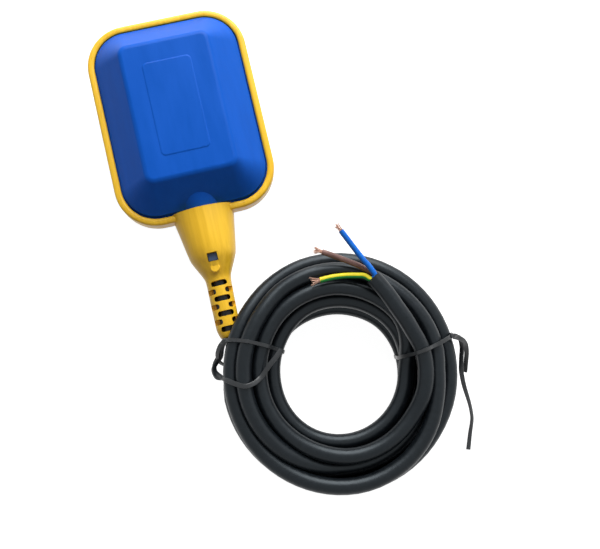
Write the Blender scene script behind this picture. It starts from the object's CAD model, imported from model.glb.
"""The dressed cable float switch: blue shells in a yellow frame, on a coiled black cable."""
import random
from math import cos, pi, radians, sin

import bmesh
import bpy
from mathutils import Matrix, Vector


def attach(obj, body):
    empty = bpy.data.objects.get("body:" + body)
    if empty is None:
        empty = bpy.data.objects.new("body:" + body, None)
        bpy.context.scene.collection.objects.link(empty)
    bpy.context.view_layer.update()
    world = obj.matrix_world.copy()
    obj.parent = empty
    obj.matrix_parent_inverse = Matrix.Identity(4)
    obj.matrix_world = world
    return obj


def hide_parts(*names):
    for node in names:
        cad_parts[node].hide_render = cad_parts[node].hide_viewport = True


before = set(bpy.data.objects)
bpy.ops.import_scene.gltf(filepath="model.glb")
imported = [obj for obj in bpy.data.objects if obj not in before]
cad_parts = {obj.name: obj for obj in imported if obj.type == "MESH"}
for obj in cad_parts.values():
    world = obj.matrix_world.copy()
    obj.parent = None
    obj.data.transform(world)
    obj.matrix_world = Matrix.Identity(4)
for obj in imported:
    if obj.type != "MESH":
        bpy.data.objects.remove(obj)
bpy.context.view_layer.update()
bpy.ops.object.select_all(action="DESELECT")


# Camera. It looks almost straight down on the switch and its coil, from 0.4 m above the table.
# The photograph's frame is 600 by 549 pixels, and the lens is 795 of its pixels long.
PICTURE_WIDTH, PICTURE_HEIGHT = 600, 549
LENS_PIXELS, SENSOR_WIDTH = 795, 36
BELOW_CAMERA = (262, 362)
CAMERA_PLACE, CAMERA_TURN = (0.0119, -0.0989, 0.420), -13.3
bpy.ops.object.camera_add(location=CAMERA_PLACE)
camera = bpy.context.object
camera.data.sensor_fit = "HORIZONTAL"
camera.data.sensor_width = SENSOR_WIDTH
camera.data.lens = SENSOR_WIDTH * LENS_PIXELS / PICTURE_WIDTH
camera.data.clip_start = 0.01
down = Vector((BELOW_CAMERA[0] - PICTURE_WIDTH / 2, PICTURE_HEIGHT / 2 - BELOW_CAMERA[1], -LENS_PIXELS))
lean = down.normalized().rotation_difference(Vector((0, 0, -1))).to_matrix()
camera.rotation_euler = (Matrix.Rotation(radians(CAMERA_TURN), 3, "Z") @ lean).to_euler()
bpy.context.scene.camera = camera


# Cable. A round black rubber-sheathed cable of 8 mm, a little over three metres long, wound by hand
# into a loose coil of four layers. It leaves the boot under the top turns and ends on top of them.
CABLE_RADIUS = 0.0040
COIL = (47.5, -113.5)
LEAD = ((0, -83.15, 20.75), (0, -85.5, 20.75), (0, -87.8, 20.8), (-0.5, -91.1, 20.9), (-1.2, -94.3, 21),
        (-2.3, -97.8, 21.1), (-3.6, -101.3, 21.2), (-4.8, -104.8, 21.3), (-5.8, -108.3, 21.35))
# Degrees round the coil, radius and height: the turns that show, then those beneath, then the top
TURNS = ((180, 54, 21.35), (225, 54, 21.35), (270, 55, 21.35), (315, 55.4, 21.35), (337, 56, 21.35),
         (360, 56.3, 21.35), (405, 57.2, 21.35), (450, 56.9, 21.35), (470, 55.8, 22.4), (495, 54, 27.4),
         (507, 53.6, 28.9), (520, 53.1, 29.2), (545, 52.7, 29.3), (585, 53.3, 29.45), (625, 53.9, 29.45),
         (652, 52.9, 29.45), (675, 51, 29.45), (695, 48.8, 29.45), (710, 48.2, 29.45), (720, 49.2, 29.45),
         (765, 50, 29.45), (800, 51.3, 29.45), (828, 50.4, 29.8), (852, 48.2, 32.6), (870, 47.4, 33.4),
         (900, 46.6, 33.2), (925, 46.2, 31.8), (945, 45.9, 29.6), (962, 45.8, 26.2), (985, 45.8, 21.35),
         (1290, 45.8, 21.35), (1330, 45.6, 13.25), (1550, 45.6, 13.25), (1588, 43.9, 13.25),
         (1625, 45.6, 13.25), (1645, 45.6, 13.25), (1685, 54, 13.25), (1915, 54, 13.25),
         (1948, 51.2, 13.25), (1978, 54, 13.25), (1990, 54, 13.25), (2030, 53.9, 5.15), (2335, 53.9, 5.15),
         (2375, 45.6, 5.15), (2690, 45.6, 5.15), (2735, 36.9, 5.15), (2910, 36.4, 5.15), (2945, 34.9, 5.15),
         (2975, 34.4, 5.15), (3005, 34.9, 5.15), (3050, 36.4, 6.5), (3090, 36.4, 13.25), (3225, 36.4, 13.25),
         (3275, 37.6, 21.35), (3335, 37, 21.35), (3385, 33.6, 21.35), (3420, 32.6, 21.35),
         (3480, 33.4, 21.35),
         (3560, 33.7, 21.35), (3585, 33.9, 21.35), (3635, 41.6, 29.45), (3660, 42.4, 29.45),
         (3680, 42.8, 29.45), (3712, 42.2, 29.45), (3735, 41, 29.45), (3750, 40, 29.45),
         (3780, 38.9, 29.45), (3825, 38.3, 29.45), (3840, 38.6, 29.45),
         (3870, 40, 29.45), (3915, 40.7, 30), (3937, 41.6, 33.2), (3960, 41.9, 33.9), (3966, 41.6, 34.5),
         (3978, 40.7, 36.5), (3993, 41.7, 37.8), (4007, 45.2, 37.8), (4018, 49.4, 37.8))


def between(keys, step):
    """Values between the keys every few degrees, with no overshoot past a key."""
    slopes = [[(b[k] - a[k]) / (b[0] - a[0]) for k in (1, 2)] for a, b in zip(keys, keys[1:])]
    leaning = [[0 if p * q <= 0 else 2 * p * q / (p + q) for p, q in zip(before, after)]
               for before, after in zip([slopes[0]] + slopes, slopes + [slopes[-1]])]
    rows = []
    for (a, b), lean_a, lean_b in zip(zip(keys, keys[1:]), leaning, leaning[1:]):
        span = b[0] - a[0]
        count = max(1, round(span / step))
        for t in (s / count for s in range(count)):
            rows.append([a[0] + span * t] + [
                (2 * t ** 3 - 3 * t ** 2 + 1) * a[k + 1] + (t ** 3 - 2 * t ** 2 + t) * span * lean_a[k]
                + (3 * t ** 2 - 2 * t ** 3) * b[k + 1] + (t ** 3 - t ** 2) * span * lean_b[k]
                for k in (0, 1)])
    return rows + [list(keys[-1])]


def round_coil(degrees, radius, height):
    """A point in metres, from its angle round the coil, its radius and its height in millimetres."""
    angle = radians(degrees)
    return Vector((COIL[0] + radius * cos(angle), COIL[1] + radius * sin(angle), height)) / 1000


def pick(*pieces):
    """Select these pieces and no others, with the first one active."""
    bpy.ops.object.select_all(action="DESELECT")
    for piece in pieces:
        piece.select_set(True)
    bpy.context.view_layer.objects.active = pieces[0]


def sweep(name, paths, radius, sides, flat=0.0, tilts=None):
    """A mesh tube, or a flat strap, along one or more paths."""
    line = bpy.data.curves.new(name, "CURVE")
    line.dimensions = "3D"
    line.bevel_depth, line.bevel_resolution, line.extrude = radius, sides, flat
    line.use_fill_caps = True
    line.twist_mode = "MINIMUM" if not flat else "Z_UP"
    for number, path in enumerate(paths):
        spline = line.splines.new("POLY")
        spline.points.add(len(path) - 1)
        for i, (point, place) in enumerate(zip(spline.points, path)):
            point.co = (*place, 1)
            if tilts:
                point.tilt = tilts[number][i]
    piece = bpy.data.objects.new(name, line)
    bpy.context.scene.collection.objects.link(piece)
    pick(piece)
    bpy.ops.object.convert(target="MESH")
    piece = bpy.context.object
    piece.name = piece.data.name = name
    bpy.ops.object.shade_smooth_by_angle(angle=radians(40))
    return piece


def flowing(points, count=6):
    """A smooth path through hand-chosen points."""
    points = [Vector(p) for p in points]
    ends = [2 * points[0] - points[1]] + points + [2 * points[-1] - points[-2]]
    path = []
    for a, b, c, d in zip(ends, ends[1:], ends[2:], ends[3:]):
        for t in (s / count for s in range(count)):
            path.append(0.5 * (2 * b + (c - a) * t + (2 * a - 5 * b + 4 * c - d) * t * t
                               + (3 * b - a - 3 * c + d) * t ** 3))
    return path + [points[-1]]


def surface(name, colour, roughness, **sockets):
    """A new material, with the values that are the same all over it set on its shader."""
    made = bpy.data.materials.new(name)
    made.use_nodes = True
    shader = made.node_tree.nodes["Principled BSDF"]
    shader.inputs["Base Color"].default_value = (*colour, 1)
    shader.inputs["Roughness"].default_value = roughness
    for socket, value in sockets.items():
        shader.inputs[socket.replace("_", " ")].default_value = value
    return made


def add(made, kind, **values):
    """A new node in a material, with its own settings and socket values."""
    node = made.node_tree.nodes.new("ShaderNode" + kind)
    for name, value in values.items():
        if hasattr(node, name):
            setattr(node, name, value)
        else:
            node.inputs[name.replace("_", " ")].default_value = value
    return node


def link(made, start, end):
    made.node_tree.links.new(start, end)


def grain(made, scale, tints, rough, bump=0.0, stretch=(1, 1, 1)):
    """Grain on a material: a noise that shades its colour, varies its gloss and lifts its surface."""
    shader = made.node_tree.nodes["Principled BSDF"]
    place = add(made, "TexCoord")
    mapped = add(made, "Mapping")
    mapped.inputs["Scale"].default_value = stretch
    noise = add(made, "TexNoise", Scale=scale, Detail=4.0, Roughness=0.6)
    link(made, place.outputs["Object"], mapped.inputs["Vector"])
    link(made, mapped.outputs["Vector"], noise.inputs["Vector"])
    ramp = add(made, "ValToRGB")
    for stop, position, tint in zip(ramp.color_ramp.elements, (0.32, 0.68), tints):
        stop.position, stop.color = position, (*tint, 1)
    link(made, noise.outputs["Fac"], ramp.inputs["Fac"])
    link(made, ramp.outputs["Color"], shader.inputs["Base Color"])
    spread = add(made, "MapRange", From_Min=0.3, From_Max=0.7, To_Min=rough[0], To_Max=rough[1])
    link(made, noise.outputs["Fac"], spread.inputs["Value"])
    link(made, spread.outputs["Result"], shader.inputs["Roughness"])
    if bump:
        raised = add(made, "Bump", Strength=0.35, Distance=bump)
        link(made, noise.outputs["Fac"], raised.inputs["Height"])
        link(made, raised.outputs["Normal"], shader.inputs["Normal"])


cable_route = [Vector(p) / 1000 for p in LEAD] + [round_coil(*row) for row in between(TURNS, 5)]
sheath = surface("cable_sheath", (0.004, 0.0053, 0.007), 0.37, Specular_IOR_Level=0.30,
                 Specular_Tint=(0.82, 0.93, 1.0, 1))
grain(sheath, 420, tints=((0.0028, 0.004, 0.0052), (0.0055, 0.0072, 0.0095)), rough=(0.33, 0.41),
      bump=0.00005)
cable = sweep("cable", [cable_route], CABLE_RADIUS, sides=7)
cable.data.materials.append(sheath)
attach(cable, "root")
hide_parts("cable_lead", "cable_coil", "cable_tail")


# Cores. Three insulated cores of 2.8 mm come out of the cable's cut end, blue, brown and
# green-yellow, each stripped at its tip. They lie on and over the top turns.
CORE_RADIUS = 0.0014
CORE_ROUTES = {
    "blue": ((0.0740, -0.0721, 0.0390), (0.0746, -0.0709, 0.0394), (0.0730, -0.0665, 0.0396),
             (0.0708, -0.0623, 0.0398), (0.0686, -0.0576, 0.0400), (0.0666, -0.0531, 0.0402),
             (0.0635, -0.0461, 0.0404)),
    "brown": ((0.0745, -0.0715, 0.0363), (0.0745, -0.0709, 0.0362), (0.0729, -0.0682, 0.0359),
              (0.0690, -0.0646, 0.0355), (0.0658, -0.0622, 0.0354), (0.0625, -0.0599, 0.0354),
              (0.0564, -0.0559, 0.0356), (0.0526, -0.0536, 0.0358)),
    "earth": ((0.0730, -0.0728, 0.0380), (0.0717, -0.0718, 0.0378), (0.0700, -0.0700, 0.0374),
              (0.0668, -0.0689, 0.0365), (0.0607, -0.0675, 0.0354), (0.0545, -0.0668, 0.0353),
              (0.0484, -0.0669, 0.0353)),
}
CORE_TINTS = {"blue": ((0.003, 0.100, 0.48), (0.008, 0.155, 0.62)),
              "brown": ((0.140, 0.072, 0.060), (0.23, 0.130, 0.112)),
              "earth": ((0.62, 0.52, 0.010), (0.80, 0.68, 0.020))}
GREEN, GREEN_FROM, GREEN_TO = (0.025, 0.33, 0.060), -0.12, -0.22
core_pieces, core_ends = [], {}
for core, route in CORE_ROUTES.items():
    path = flowing(route)
    core_ends[core] = (path[-1], (path[-1] - path[-4]).normalized())
    piece = sweep(f"core_{core}_cover", [path], CORE_RADIUS, sides=6)
    cover = surface(f"core_{core}_pvc", CORE_TINTS[core][1], 0.34, Specular_IOR_Level=0.2)
    grain(cover, 260, tints=CORE_TINTS[core], rough=(0.28, 0.42), bump=0.00003)
    if core == "earth":
        # The green half runs along the side that faces away from the float. Sockets 6 and 7 of a
        # colour mix are its two colours, and 2 its result.
        facing = add(cover, "TexCoord")
        split = add(cover, "SeparateXYZ")
        edge = add(cover, "MapRange", From_Min=GREEN_TO, From_Max=GREEN_FROM)
        mix = add(cover, "Mix", data_type="RGBA")
        link(cover, facing.outputs["Normal"], split.inputs[0])
        link(cover, split.outputs["Y"], edge.inputs["Value"])
        link(cover, edge.outputs["Result"], mix.inputs["Factor"])
        mix.inputs[6].default_value = (*GREEN, 1)
        link(cover, cover.node_tree.nodes["Color Ramp"].outputs["Color"], mix.inputs[7])
        link(cover, mix.outputs[2], cover.node_tree.nodes["Principled BSDF"].inputs["Base Color"])
    piece.data.materials.append(cover)
    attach(piece, "root")
    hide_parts(f"core_{core}")
    core_pieces.append(piece)


# Bare copper. Twenty-two fine wires stick out of each core's end and spread a little.
# They were twisted by hand and then bent, so no two lie the same way.
COPPER_LENGTHS = {"blue": 0.0054, "brown": 0.0058, "earth": 0.0062}
COPPER_SPREAD = {"blue": 0.22, "brown": 0.42, "earth": 0.34}
WIRE_RADIUS, WIRES, BUNDLE_RADIUS, WIRE_ROOT = 0.00013, 22, 0.00095, 0.0012
WIRE_TURN = 2.4
copper = surface("bare_copper", (0.90, 0.58, 0.44), 0.34, Metallic=0.8)
grain(copper, 900, tints=((0.50, 0.27, 0.19), (0.70, 0.49, 0.40)), rough=(0.26, 0.44))
random.seed(7)
for core, (end, along) in core_ends.items():
    side = along.cross(Vector((0, 0, 1))).normalized()
    over = side.cross(along).normalized()
    wires = []
    for number in range(WIRES):
        angle, out = number * WIRE_TURN, BUNDLE_RADIUS * (number / WIRES) ** 0.5
        offset = (side * cos(angle) + over * sin(angle)) * out
        bend = (side * random.uniform(-1, 1) + over * random.uniform(-0.35, 0.55)) * COPPER_SPREAD[core]
        reach = COPPER_LENGTHS[core] * random.uniform(0.72, 1.0)
        wires.append([end + offset + along * (reach * t - WIRE_ROOT) + bend * reach * t * t
                      for t in (0, 0.25, 0.5, 0.75, 1.0)])
    piece = sweep(f"strands_{core}_wires", wires, WIRE_RADIUS, sides=1)
    piece.data.materials.append(copper)
    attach(piece, "root")
    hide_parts(f"strands_{core}")
    core_pieces.append(piece)


# Ties. Two flat black twist ties hold the coil: a plastic strap 2 mm wide with a wire in it, put
# once round all the turns and twisted together at the outside, with the ends left long.
TIE_HALF, TIE_ROUND = 0.00085, 0.00035
BAND_WIDTH, BAND_THICKNESS = 0.0019, 0.0007
# Each band: degrees round the coil, radius and height, in turn round the coil's section
LEFT_LOOP = ((150.6, 59.9, 26), (150.2, 58.6, 30.2), (149.3, 55.6, 33.6), (148.6, 53, 34.4),
             (147.9, 50.2, 36.6), (147.2, 47.5, 38), (146.6, 44, 36.3), (146.2, 41.5, 34.7),
             (145.6, 38, 34), (145.2, 34.4, 30.5),
             (144.8, 30.8, 27), (144.6, 29.3, 23), (144.6, 29.2, 4), (145, 31, 0.75), (147, 40, 0.6),
             (149, 52, 0.6), (150.4, 58.4, 0.75), (150.8, 60.2, 4), (150.8, 60.3, 16))
# Each loose end: a path in millimetres
LEFT_END = ((22.4, -95.2, 34.4), (21, -96.3, 34.6), (18.4, -98.6, 35), (15.5, -100.8, 35),
            (10.8, -105.1, 34.6), (8.2, -106.8, 35.4), (5.7, -107.9, 37), (2.1, -108.3, 38.2),
            (-1.4, -106.9, 36.6), (-4.4, -105, 34.6), (-7.6, -102.6, 31.4), (-9.3, -101.3, 26),
            (-11.8, -98.1, 20), (-11.4, -94.6, 18), (-8.6, -91.1, 20), (-7.2, -87.9, 22))
LEFT_LOOPS = (((-3.2, -84.6, 31), (-6.2, -86.6, 28.4), (-8.6, -90.2, 24.5), (-8.6, -93.8, 21),
               (-6.8, -96, 18.5)),
              ((-4.4, -85.6, 30), (-6, -88.4, 26), (-7.4, -91.6, 22.5), (-10, -93.8, 20.5),
               (-12.4, -97, 21), (-11.6, -101, 24), (-9, -102.4, 26)))
RIGHT_LOOP = ((1.6, 31, 22), (1.7, 32, 26.4), (1.8, 34, 30), (2, 36.9, 34.4), (2.2, 38.6, 37),
              (2.5, 41.2, 38.6), (2.9, 44.2, 38), (3.2, 46.6, 35.8), (3.5, 49, 34.6), (4, 51.6, 34.2),
              (4.6, 54.8, 33),
              (5.2, 58.4, 29.5), (5.6, 60.6, 24.5), (5.4, 61, 16), (4.8, 60.4, 4), (4.6, 58.4, 0.75),
              (3.5, 50, 0.6), (2.5, 40, 0.6), (2, 34, 0.8), (1.8, 32.4, 5), (1.7, 31.9, 12.5))
RIGHT_ENDS = (((105.4, -108.2, 30.6), (107.6, -108.5, 29.2), (109.4, -109.3, 26.6),
               (111.2, -110.7, 24), (111.9, -115.3, 20), (111.2, -120.3, 16.6),
               (110.2, -126.3, 14), (110.3, -131.3, 11.5), (110.8, -136.2, 9), (111.7, -141.3, 6.4),
               (112.4, -146.5, 4), (112.4, -152.3, 2), (111.2, -156.3, 1.4), (109.5, -160.3, 1.2),
               (106.4, -168.3, 1.2)),
              ((107, -108.9, 29), (109.2, -109.7, 27), (112.2, -111.5, 24), (114.2, -114.2, 20),
               (114.7, -118.3, 16), (114.1, -123.3, 12), (113.3, -128.4, 8)))


def loose_ends(name, routes, turns):
    """Flat straps along paths in millimetres, each turned about its own line as the turns say."""
    paths = [flowing([Vector(place) / 1000 for place in route], 5) for route in routes]
    tilts = [[turn(i / (len(path) - 1)) for i in range(len(path))] for path, turn in zip(paths, turns)]
    return sweep(name, paths, TIE_ROUND, sides=2, flat=TIE_HALF, tilts=tilts)


def band(name, loop):
    """A flat strap with eased edges, closed round the coil's section through the places given."""
    outline = ((-1, -0.5), (-0.85, -1), (0.85, -1), (1, -0.5), (1, 0.5), (0.85, 1), (-0.85, 1), (-1, 0.5))
    places = [round_coil(*place) for place in loop]
    places = flowing(places + places[:3], 5)[5:-10]
    radial = places[0] - round_coil(0, 0, 0)
    radial.z = 0
    across = radial.cross(Vector((0, 0, 1))).normalized() * BAND_WIDTH / 2
    body = bmesh.new()
    rings = []
    for before, here, after in zip(places[-1:] + places[:-1], places, places[1:] + places[:1]):
        out = (after - before).cross(across).normalized() * BAND_THICKNESS / 2
        rings.append([body.verts.new(here + across * a + out * b) for a, b in outline])
    for one, two in zip(rings, rings[1:] + rings[:1]):
        for k in range(len(outline)):
            body.faces.new((one[k], one[k - 1], two[k - 1], two[k]))
    bmesh.ops.recalc_face_normals(body, faces=body.faces)
    mesh = bpy.data.meshes.new(name)
    body.to_mesh(mesh)
    body.free()
    piece = bpy.data.objects.new(name, mesh)
    bpy.context.scene.collection.objects.link(piece)
    return piece


def join(name, *parts):
    """Several meshes as one piece."""
    pick(*parts)
    bpy.ops.object.join()
    piece = bpy.context.object
    piece.name = piece.data.name = name
    return piece


tie_plastic = surface("tie_plastic", (0.014, 0.016, 0.018), 0.34, Specular_IOR_Level=0.45)
grain(tie_plastic, 300, tints=((0.011, 0.013, 0.015), (0.018, 0.021, 0.024)), rough=(0.30, 0.38),
      bump=0.00001)
left_ends = loose_ends("left_ends", (LEFT_END, *LEFT_LOOPS),
                       (lambda t: pi / 2 + max(0, t - 0.6) * 2, lambda t: pi / 2 + t, lambda t: pi / 2 - t))
left = join("tie_left_strap", band("left_loop", LEFT_LOOP), left_ends)
right_ends = loose_ends("right_ends", RIGHT_ENDS,
                        (lambda t: pi / 2 + 0.6 * sin(t * 6), lambda t: pi / 2 + 0.5 * t))
right = join("tie_right_strap", band("right_loop", RIGHT_LOOP), right_ends)
for tie, node in ((left, "tie_left"), (right, "tie_right")):
    tie.data.materials.clear()
    tie.data.materials.append(tie_plastic)
    pick(tie)
    bpy.ops.object.shade_smooth_by_angle(angle=radians(50))
    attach(tie, "root")
    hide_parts(node)


# Shells. Two half shells of bright blue moulded plastic, each a low roof with a flat top, a foot
# in the frame's pocket, an arch over the gland and four posts inside that hold the inner box.
MID = 0.02075
SHELL_CENTRE = 0.0316
SHELL_HALF, SHELL_CORNER = (0.0364, 0.0482), 0.0167
FOOT_HALF, FOOT_CORNER = (0.0375, 0.0493), 0.0177
PLATEAU_HALF, PLATEAU_Y = (0.02215, 0.0344), 0.03185
SHELL_WALL, WALL_AT_RIM, WALL_AT_TOP = 0.0022, 0.4, 0.42
# How far a cutter reaches past what it cuts
PAST = 0.03
# Heights from the middle: the foot's start and thickness, the hollow's start and the rim
FOOT_START, FOOT_THICK, HOLLOW_START, RIM_RISE = 0.0013, 0.0017, -0.001, 0.0056
RIM_EDGE = ((0.00012, 0.00028), (0.00026, 0.00024), (0.00032, 0.00016))
SLOPE_WIDTH, PLATEAU_EDGE = 0.0120, 0.0016
LABEL_HALF, LABEL_CENTRE, LABEL_RISE = (0.01225, 0.0238), (-0.0004, 0.0322), 0.00026
LABEL_CORNER, LABEL_EDGE = 0.0025, ((0.00018, 0.42), (0.00026, 0.36), (0.00040, 0.22))
ARCH_ENDS, ARCH_RADII, ARCH_WALL, TUNNEL_RADIUS = (-0.01775, -0.00375), (0.0096, 0.0145), 0.0012, 0.0084
POST_RADIUS, POST_START = 0.0025, 0.0101
POSTS = ((-0.011, 0.01815), (0.011, 0.01815), (-0.011, 0.05815), (0.011, 0.05815))


def begin_plate(name, half, corner, z, y=SHELL_CENTRE, steps=12):
    """A flat plate with round corners, left in edit mode with its face selected."""
    bpy.ops.object.select_all(action="DESELECT")
    bpy.ops.mesh.primitive_plane_add(size=2, location=(0, y, z))
    plate = bpy.context.object
    plate.name = plate.data.name = name
    bpy.ops.object.mode_set(mode="EDIT")
    bpy.ops.transform.resize(value=(half[0], half[1], 1))
    bpy.ops.mesh.bevel(offset=corner, segments=steps, affect="VERTICES", clamp_overlap=False)
    bpy.ops.mesh.select_mode(type="FACE")
    bpy.ops.mesh.select_all(action="SELECT")
    return plate


def lift(height):
    """Extrude the selected face straight up or down."""
    bpy.ops.mesh.extrude_region_move(TRANSFORM_OT_translate={"value": (0, 0, height)})


def step_in(width, height):
    """Inset the selected face, and raise it by a height."""
    bpy.ops.mesh.inset(thickness=width, depth=height, use_even_offset=True)


def close_up(piece):
    """Fill the open foot of a shape, point its faces outwards and leave edit mode."""
    bpy.ops.mesh.select_all(action="SELECT")
    bpy.ops.mesh.remove_doubles(threshold=1e-6)
    bpy.ops.mesh.select_all(action="DESELECT")
    bpy.ops.mesh.select_mode(type="EDGE")
    bpy.ops.mesh.select_non_manifold()
    bpy.ops.mesh.edge_face_add()
    bpy.ops.mesh.select_all(action="SELECT")
    bpy.ops.mesh.normals_make_consistent(inside=False)
    bpy.ops.object.mode_set(mode="OBJECT")
    bpy.ops.object.transform_apply(location=True, rotation=True, scale=True)
    return piece


def roof(name, wall):
    """The outer shape of a half shell, or its hollow when a wall is given."""
    half = [value - wall for value in (SHELL_HALF if wall else FOOT_HALF)]
    corner = (SHELL_CORNER if wall else FOOT_CORNER) - wall
    shape = begin_plate(name, half, corner, MID + (HOLLOW_START if wall else FOOT_START))
    rim = RIM_RISE - wall * WALL_AT_RIM
    if wall:
        lift(rim - HOLLOW_START)
    else:
        lift(FOOT_THICK)
        step_in(FOOT_HALF[0] - SHELL_HALF[0], 0)
        lift(rim - FOOT_START - FOOT_THICK)
    for width, height in RIM_EDGE:
        step_in(width, height)
    edge_width, edge_height = (sum(column) for column in zip(*RIM_EDGE))
    step_in(SLOPE_WIDTH, MID - wall - rim - edge_height)
    now = [value - edge_width - SLOPE_WIDTH for value in (half if wall else SHELL_HALF)]
    target = [value - wall * WALL_AT_TOP for value in PLATEAU_HALF]
    bpy.ops.transform.resize(value=(target[0] / now[0], target[1] / now[1], 1))
    bpy.ops.transform.translate(value=(0, PLATEAU_Y - SHELL_CENTRE, 0))
    if not wall:
        bpy.ops.mesh.region_to_loop()
        bpy.ops.mesh.bevel(offset=PLATEAU_EDGE, segments=5, affect="EDGES", clamp_overlap=False)
    return close_up(shape)


def bar(name, start, end, radius, sides=64):
    """A round bar between two points."""
    start, end = Vector(start), Vector(end)
    bpy.ops.object.select_all(action="DESELECT")
    bpy.ops.mesh.primitive_cylinder_add(vertices=sides, radius=radius, depth=(end - start).length,
                                        location=(start + end) / 2,
                                        rotation=(end - start).to_track_quat("Z", "Y").to_euler())
    shape = bpy.context.object
    shape.name = name
    bpy.ops.object.transform_apply(location=True, rotation=True, scale=True)
    return shape


def brick(name, low, high, corner=0.0, steps=4):
    """A box between two corners, its upright edges rounded."""
    half = [(b - a) / 2 for a, b in zip(low, high)]
    middle = [(b + a) / 2 for a, b in zip(low, high)]
    if corner:
        shape = begin_plate(name, half[:2], corner, low[2], middle[1], steps)
        bpy.ops.transform.translate(value=(middle[0], 0, 0))
        lift(high[2] - low[2])
        return close_up(shape)
    bpy.ops.object.select_all(action="DESELECT")
    bpy.ops.mesh.primitive_cube_add(size=2, location=middle)
    shape = bpy.context.object
    shape.name = name
    bpy.ops.transform.resize(value=half)
    bpy.ops.object.transform_apply(location=True, rotation=True, scale=True)
    return shape


def carve(piece, operation, *cutters):
    """Cut the cutters from a piece, or join them to it, and remove them."""
    for cutter in cutters:
        change = piece.modifiers.new("cut", "BOOLEAN")
        change.operation, change.object, change.solver = operation, cutter, "EXACT"
        pick(piece)
        bpy.ops.object.modifier_apply(modifier=change.name)
        bpy.data.objects.remove(cutter)


def smooth(piece, angle):
    """Shade a piece smooth except over its sharp edges, with its large faces kept flat."""
    pick(piece)
    bpy.ops.object.shade_smooth_by_angle(angle=radians(angle))
    weighted = piece.modifiers.new("flat_faces", "WEIGHTED_NORMAL")
    weighted.keep_sharp = True
    bpy.ops.object.modifier_apply(modifier=weighted.name)


def half_shell(name):
    """One half shell, cut and joined from its outer shape."""
    shell = roof(name, 0)
    bpy.ops.object.select_all(action="DESELECT")
    bpy.ops.mesh.primitive_cone_add(vertices=96, radius1=ARCH_RADII[0], radius2=ARCH_RADII[1],
                                    depth=ARCH_ENDS[1] - ARCH_ENDS[0], rotation=(-pi / 2, 0, 0),
                                    location=(0, (ARCH_ENDS[0] + ARCH_ENDS[1]) / 2, MID))
    bpy.ops.object.transform_apply(location=True, rotation=True, scale=True)
    carve(shell, "UNION", bpy.context.object)
    # The arch's lower half and all that is under the foot go, and so do the hollow and the tunnel
    below = brick("below", (-PAST, -PAST, MID - PAST), (PAST, 0.0, MID + FOOT_START))
    tunnel = bar("tunnel", (0, -PAST, MID), (0, ARCH_ENDS[1] - ARCH_WALL, MID), TUNNEL_RADIUS)
    carve(shell, "DIFFERENCE", below, roof("hollow", SHELL_WALL), tunnel)
    for x, y in POSTS:
        foot, head = (x, y, MID + POST_START), (x, y, 2 * MID - SHELL_WALL / 2)
        carve(shell, "UNION", bar("post", foot, head, POST_RADIUS, 24))
    return shell


shell_blue = surface("shell_blue_plastic", (0.005, 0.086, 0.46), 0.36, Specular_IOR_Level=0.08)
grain(shell_blue, 160, stretch=(1, 0.2, 1), tints=((0.004, 0.081, 0.435), (0.006, 0.092, 0.485)),
      rough=(0.32, 0.42), bump=0.00002)
upper = half_shell("upper_roof")
label = begin_plate("label", LABEL_HALF, LABEL_CORNER, 2 * MID - SHELL_WALL / 2, LABEL_CENTRE[1], 6)
bpy.ops.transform.translate(value=(LABEL_CENTRE[0], 0, 0))
lift(SHELL_WALL / 2)
for width, share in LABEL_EDGE:
    step_in(width, share * LABEL_RISE)
carve(upper, "UNION", close_up(label))
lower = half_shell("lower_roof")
upside_down = Matrix.Scale(-1, 4, (0, 0, 1))
lower.data.transform(Matrix.Translation((0, 0, MID)) @ upside_down @ Matrix.Translation((0, 0, -MID)))
lower.data.flip_normals()
for shell, node in ((upper, "upper_shell"), (lower, "lower_shell")):
    smooth(shell, 26)
    shell.data.materials.clear()
    shell.data.materials.append(shell_blue)
    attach(shell, "root")
    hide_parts(node)


# Frame. One moulding of yellow plastic: a rounded ring that grips both shells, a web between them,
# a conical neck over the gland and a slotted bend protector that tapers onto the cable.
FRAME_HALF, FRAME_CORNER, FRAME_TOP, FRAME_CENTRE = (0.0407, 0.0526), 0.021, 0.0055, 0.0313
LIP = ((0.00010, 0.00040), (0.00026, 0.00038), (0.00042, 0.00030), (0.00052, 0.00014), (0.00100, 0.0),
       (0.00052, -0.00014), (0.00042, -0.00030), (0.00026, -0.00038), (0.00010, -0.00040))
NECK = ((-0.0120, 0.0165), (-0.0181, 0.0158), (-0.0238, 0.0149), (-0.0300, 0.0138), (-0.0360, 0.0128),
        (-0.0395, 0.01215), (-0.0412, 0.0118), (-0.0426, 0.0114), (-0.0440, 0.0108), (-0.0455, 0.0101),
        (-0.0475, 0.0091), (-0.0495, 0.0081), (-0.0512, 0.0073), (-0.0524, 0.0068), (-0.0536, 0.0065),
        (-0.0560, 0.0063), (-0.0650, 0.0062), (-0.0784, 0.0060), (-0.0796, 0.0058), (-0.0815, 0.0053),
        (-0.0827, 0.0049), (-0.08315, 0.0046))
# The boot leans a little to one side, and the neck is flatter at its mouth than it is wide
BOOT_LEAN, LEAN_LENGTH = 0.0006, 0.02
NECK_FLAT, FLAT_START, FLAT_END = 0.76, -0.0180, -0.0370
BOOT_START, FIRST_SLOT, SLOT_ROWS, SLOT_PITCH, SLOT_HALF = -0.05315, 0.0028, 7, 0.00765, 0.00135
SLOT_REACH, SLOT_INNER, SLOT_WIDE, SLOT_WEB, SLOT_CORNER = 0.009, 0.0023, 0.0040, 0.0008, 0.0011
WINDOW_LOW, WINDOW_HIGH = (-0.0025, -0.04525), (0.0025, -0.04105)
BUTTON_Y, BUTTON_RISE, BUTTON_RADIUS, BUTTON_EDGE = -0.0484, 0.0090, 0.0024, 0.0005
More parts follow.
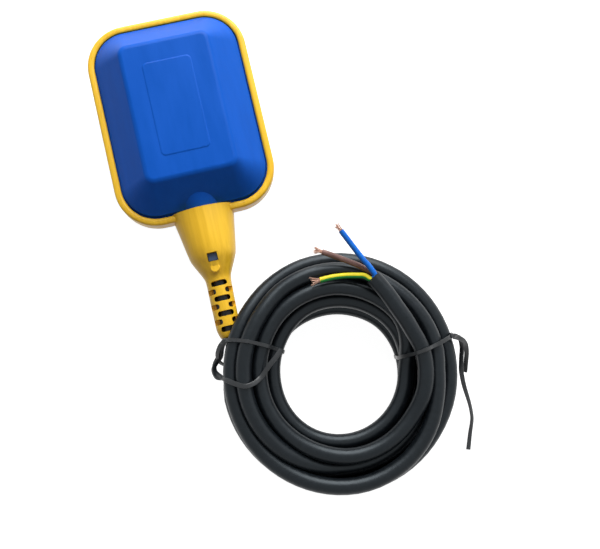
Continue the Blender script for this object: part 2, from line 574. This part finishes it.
# Half width, both ends, corner and top of the mouth that shows a shell, of the pocket that holds
# its foot, and of the opening in the web between the shells
MOUTH = (0.0373, (-0.0175, 0.0807), 0.0176, PAST)
POCKET = (0.0378, (-0.0180, 0.0812), 0.018, 0.0033)
OPENING = (0.0316, (-0.01185, 0.07395), 0.0118, 0.002)
WEB_HALF, GLAND_BORE_END = 0.001, -0.04645
CABLE_BORE, CABLE_BORE_ENDS = 0.00405, (-0.02, -0.09)

ring = begin_plate("frame", FRAME_HALF, FRAME_CORNER, MID, FRAME_CENTRE, 14)
lip_rise = sum(height for width, height in LIP if height > 0)
lift(FRAME_TOP - lip_rise)
for width, height in LIP:
    if height:
        step_in(width, height)
    else:
        bpy.ops.mesh.inset(thickness=width, depth=0)
lift(WEB_HALF - FRAME_TOP + lip_rise)
bpy.ops.object.mode_set(mode="OBJECT")
bpy.ops.object.transform_apply(location=True, rotation=True, scale=True)
pick(ring)
# The plate's first face goes before the lower half is mirrored, or it would stay inside
for face in ring.data.polygons:
    face.select = abs(face.center.z - MID) < 1e-6 and abs(face.normal.z) > 0.9
bpy.ops.object.mode_set(mode="EDIT")
bpy.ops.mesh.delete(type="ONLY_FACE")
bpy.ops.object.mode_set(mode="OBJECT")
middle = bpy.data.objects.new("middle", None)
bpy.context.scene.collection.objects.link(middle)
middle.location = (0, 0, MID)
mirror = ring.modifiers.new("lower_half", "MIRROR")
mirror.use_axis = (False, False, True)
mirror.mirror_object = middle
mirror.merge_threshold = 1e-5
bpy.context.view_layer.update()
bpy.ops.object.modifier_apply(modifier=mirror.name)
bpy.data.objects.remove(middle)
bpy.ops.object.mode_set(mode="EDIT")
bpy.ops.mesh.select_all(action="SELECT")
bpy.ops.mesh.normals_make_consistent(inside=False)
bpy.ops.object.mode_set(mode="OBJECT")

bpy.ops.object.select_all(action="DESELECT")
bpy.ops.mesh.primitive_circle_add(vertices=72, radius=NECK[0][1], fill_type="NGON",
                                  location=(0, NECK[0][0], MID), rotation=(pi / 2, 0, 0))
neck = bpy.context.object
neck.name = "neck"
bpy.ops.object.transform_apply(location=True, rotation=True, scale=True)
bpy.ops.object.mode_set(mode="EDIT")
bpy.ops.mesh.select_all(action="SELECT")
for (y0, r0), (y1, r1) in zip(NECK, NECK[1:]):
    bpy.ops.mesh.extrude_region_move(TRANSFORM_OT_translate={"value": (0, y1 - y0, 0)})
    bpy.ops.transform.resize(value=(r1 / r0, 1, r1 / r0), center_override=(0, y1, MID))
close_up(neck)
for vertex in neck.data.vertices:
    full = min(1, max(0, (FLAT_START - vertex.co.y) / (FLAT_START - FLAT_END)))
    vertex.co.z = MID + (vertex.co.z - MID) * (NECK_FLAT + (1 - NECK_FLAT) * full)
    vertex.co.x -= BOOT_LEAN * min(1, max(0, (BOOT_START - vertex.co.y) / LEAN_LENGTH))
bpy.ops.object.mode_set(mode="EDIT")
bpy.ops.mesh.select_all(action="SELECT")
bpy.ops.mesh.quads_convert_to_tris()
bpy.ops.object.mode_set(mode="OBJECT")
button = bar("button", (0, BUTTON_Y, MID), (0, BUTTON_Y, MID + BUTTON_RISE), BUTTON_RADIUS, 32)
edge = button.modifiers.new("edge", "BEVEL")
edge.width, edge.segments, edge.limit_method, edge.angle_limit = BUTTON_EDGE, 3, "ANGLE", radians(40)
bpy.ops.object.modifier_apply(modifier=edge.name)
carve(ring, "UNION", neck, button)
hollows = []
for name, (half, (start, end), corner, top) in (("mouth", MOUTH), ("pocket", POCKET)):
    for low, high in ((WEB_HALF, top), (-top, -WEB_HALF)):
        hollows.append(brick(name, (-half, start, MID + low), (half, end, MID + high), corner, 14))
half, (start, end), corner, top = OPENING
hollows.append(brick("opening", (-half, start, MID - top), (half, end, MID + top), corner, 8))
carve(ring, "DIFFERENCE", *hollows,
      bar("gland_bore", (0, PAST, MID), (0, GLAND_BORE_END, MID), TUNNEL_RADIUS),
      bar("cable_bore", (0, CABLE_BORE_ENDS[0], MID), (0, CABLE_BORE_ENDS[1], MID), CABLE_BORE),
      brick("window", (*WINDOW_LOW, MID - PAST), (*WINDOW_HIGH, MID + PAST)))
# The boot's slots: one across the top and bottom, then one at each side, and so on in turn
for row in range(SLOT_ROWS):
    y = BOOT_START - FIRST_SLOT - row * SLOT_PITCH / 2
    spans = ((SLOT_INNER, SLOT_REACH), (-SLOT_REACH, -SLOT_INNER)) if row % 2 else ((-SLOT_WIDE, SLOT_WIDE),)
    for x0, x1 in spans:
        for z0, z1 in ((MID - SLOT_REACH, MID - SLOT_WEB), (MID + SLOT_WEB, MID + SLOT_REACH)):
            low, high = (x0, y - SLOT_HALF, z0), (x1, y + SLOT_HALF, z1)
            carve(ring, "DIFFERENCE", brick("slot", low, high, SLOT_CORNER))
smooth(ring, 34)
frame_yellow = surface("frame_yellow_plastic", (0.84, 0.49, 0.022), 0.36, Specular_IOR_Level=0.3,
                       Coat_Weight=0.08, Coat_Roughness=0.2)
grain(frame_yellow, 520, stretch=(1, 0.03, 1), tints=((0.76, 0.43, 0.014), (0.90, 0.54, 0.030)),
      rough=(0.30, 0.44), bump=0.00008)
ring.data.materials.clear()
ring.data.materials.append(frame_yellow)
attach(ring, "root")
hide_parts("frame_boot")


# Gland. A dark blue plug in the neck holds the cable, and its two lugs snap into the windows.
# Behind it lie a rubber seal, a brass clamp and cast resin, round the cable's inner end.
def dress(node, material):
    """Give a CAD piece its finish."""
    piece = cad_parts[node]
    piece.data.materials.clear()
    piece.data.materials.append(material)


gland_blue = surface("gland_blue_plastic", (0.012, 0.035, 0.085), 0.45)
grain(gland_blue, 300, tints=((0.010, 0.030, 0.075), (0.018, 0.045, 0.105)), rough=(0.38, 0.52),
      bump=0.00003)
dress("gland_body", gland_blue)
seal = surface("seal_rubber", (0.05, 0.05, 0.05), 0.7)
grain(seal, 500, tints=((0.040, 0.040, 0.040), (0.065, 0.064, 0.062)), rough=(0.62, 0.80), bump=0.00005)
dress("grommet", seal)
resin = surface("cast_resin", (0.03, 0.03, 0.035), 0.25, Coat_Weight=0.3, Coat_Roughness=0.1)
grain(resin, 90, tints=((0.022, 0.022, 0.026), (0.042, 0.042, 0.048)), rough=(0.18, 0.34))
dress("potting", resin)
dress("cable_inner", sheath)
for core in CORE_ROUTES:
    dress(f"wire_{core}", bpy.data.materials[f"core_{core}_pvc"])


# Inner box. A grey plastic box and lid with four steel screws carry the microswitch and the track
# of the ball, which rolls towards the lever when the float tips.
box_grey = surface("box_grey_plastic", (0.35, 0.36, 0.37), 0.5)
grain(box_grey, 320, tints=((0.32, 0.33, 0.34), (0.38, 0.39, 0.40)), rough=(0.44, 0.58), bump=0.00004)
for node in ("capsule_base", "capsule_lid"):
    dress(node, box_grey)
steel = surface("bright_steel", (0.60, 0.60, 0.62), 0.28, Metallic=1.0)
grain(steel, 600, stretch=(1, 1, 0.2), tints=((0.52, 0.52, 0.54), (0.68, 0.68, 0.70)), rough=(0.20, 0.38))
for node in ("capsule_screw_1", "capsule_screw_2", "capsule_screw_3", "capsule_screw_4", "mounting_pin_left",
             "mounting_pin_right", "switch_lever", "lever_pin"):
    dress(node, steel)
polished = surface("polished_ball", (0.70, 0.70, 0.72), 0.12, Metallic=1.0)
grain(polished, 240, tints=((0.64, 0.64, 0.66), (0.74, 0.74, 0.76)), rough=(0.08, 0.20))
dress("ball", polished)


# Microswitch. A black case and cover, a white plunger, and brass terminals and blade inside.
# The steel lever on its pin presses the plunger, and the blade moves with it.
switch_black = surface("switch_black_plastic", (0.02, 0.02, 0.02), 0.4)
grain(switch_black, 420, tints=((0.014, 0.014, 0.015), (0.028, 0.028, 0.029)), rough=(0.34, 0.50),
      bump=0.00003)
for node in ("switch_case", "switch_cover"):
    dress(node, switch_black)
plunger_white = surface("plunger_white_plastic", (0.75, 0.75, 0.72), 0.4)
grain(plunger_white, 500, tints=((0.70, 0.70, 0.66), (0.80, 0.80, 0.77)), rough=(0.32, 0.46))
dress("plunger", plunger_white)
brass = surface("contact_brass", (0.75, 0.55, 0.25), 0.3, Metallic=1.0)
grain(brass, 420, tints=((0.66, 0.46, 0.19), (0.82, 0.62, 0.31)), rough=(0.22, 0.40))
for node in ("snap_blade", "terminal_common", "terminal_no", "terminal_nc", "clamp_collar"):
    dress(node, brass)


# Floor, backdrop and lights. A pale plain table that the camera sees as white, a broad soft light
# from beyond the float's far end and a little to its right, and a weak one from the right.
TABLE_GLOW, WORLD_LIGHT, LIT_PLACE = 0.95, 0.22, (0.03, -0.05, 0.02)
# Each lamp: its direction from the part, its distance, its size and its power
LAMPS = {"key": ((0.30, 0.80, 0.52), 1.0, 0.90, 20), "side": ((0.85, 0.05, 0.50), 1.2, 0.9, 1.4)}
bpy.ops.mesh.primitive_plane_add(size=6, location=(0, 0, 0))
floor = bpy.context.object
floor.name = "floor"
paper = surface("white_table", (0.42, 0.42, 0.42), 0.9, Emission_Color=(1, 1, 1, 1))


def rays_that_see_white(tree):
    """Tell camera, gloss and transmission rays, which see the plain white, from the light itself."""
    rays = tree.nodes.new("ShaderNodeLightPath")
    seen = rays.outputs["Is Camera Ray"]
    for kind in ("Is Glossy Ray", "Is Transmission Ray"):
        either = tree.nodes.new("ShaderNodeMath")
        either.operation = "MAXIMUM"
        tree.links.new(seen, either.inputs[0])
        tree.links.new(rays.outputs[kind], either.inputs[1])
        seen = either.outputs[0]
    return seen


glow = add(paper, "Math", operation="MULTIPLY")
glow.inputs[1].default_value = TABLE_GLOW
link(paper, rays_that_see_white(paper.node_tree), glow.inputs[0])
link(paper, glow.outputs[0], paper.node_tree.nodes["Principled BSDF"].inputs["Emission Strength"])
floor.data.materials.append(paper)
for name, (direction, distance, size, power) in LAMPS.items():
    place = Vector(LIT_PLACE) + Vector(direction).normalized() * distance
    bpy.ops.object.light_add(type="AREA", location=place)
    lamp = bpy.context.object
    lamp.name, lamp.data.size, lamp.data.energy = name, size, power
    lamp.rotation_euler = Vector(direction).to_track_quat("Z", "Y").to_euler()
world = bpy.data.worlds.new("studio")
bpy.context.scene.world = world
world.use_nodes = True
world.node_tree.nodes["Background"].inputs[0].default_value = (1, 1, 1, 1)
brightness = world.node_tree.nodes.new("ShaderNodeMapRange")
brightness.inputs["To Min"].default_value = WORLD_LIGHT
world.node_tree.links.new(rays_that_see_white(world.node_tree), brightness.inputs[0])
world.node_tree.links.new(brightness.outputs[0], world.node_tree.nodes["Background"].inputs[1])
bpy.context.scene.view_settings.view_transform = "Standard"
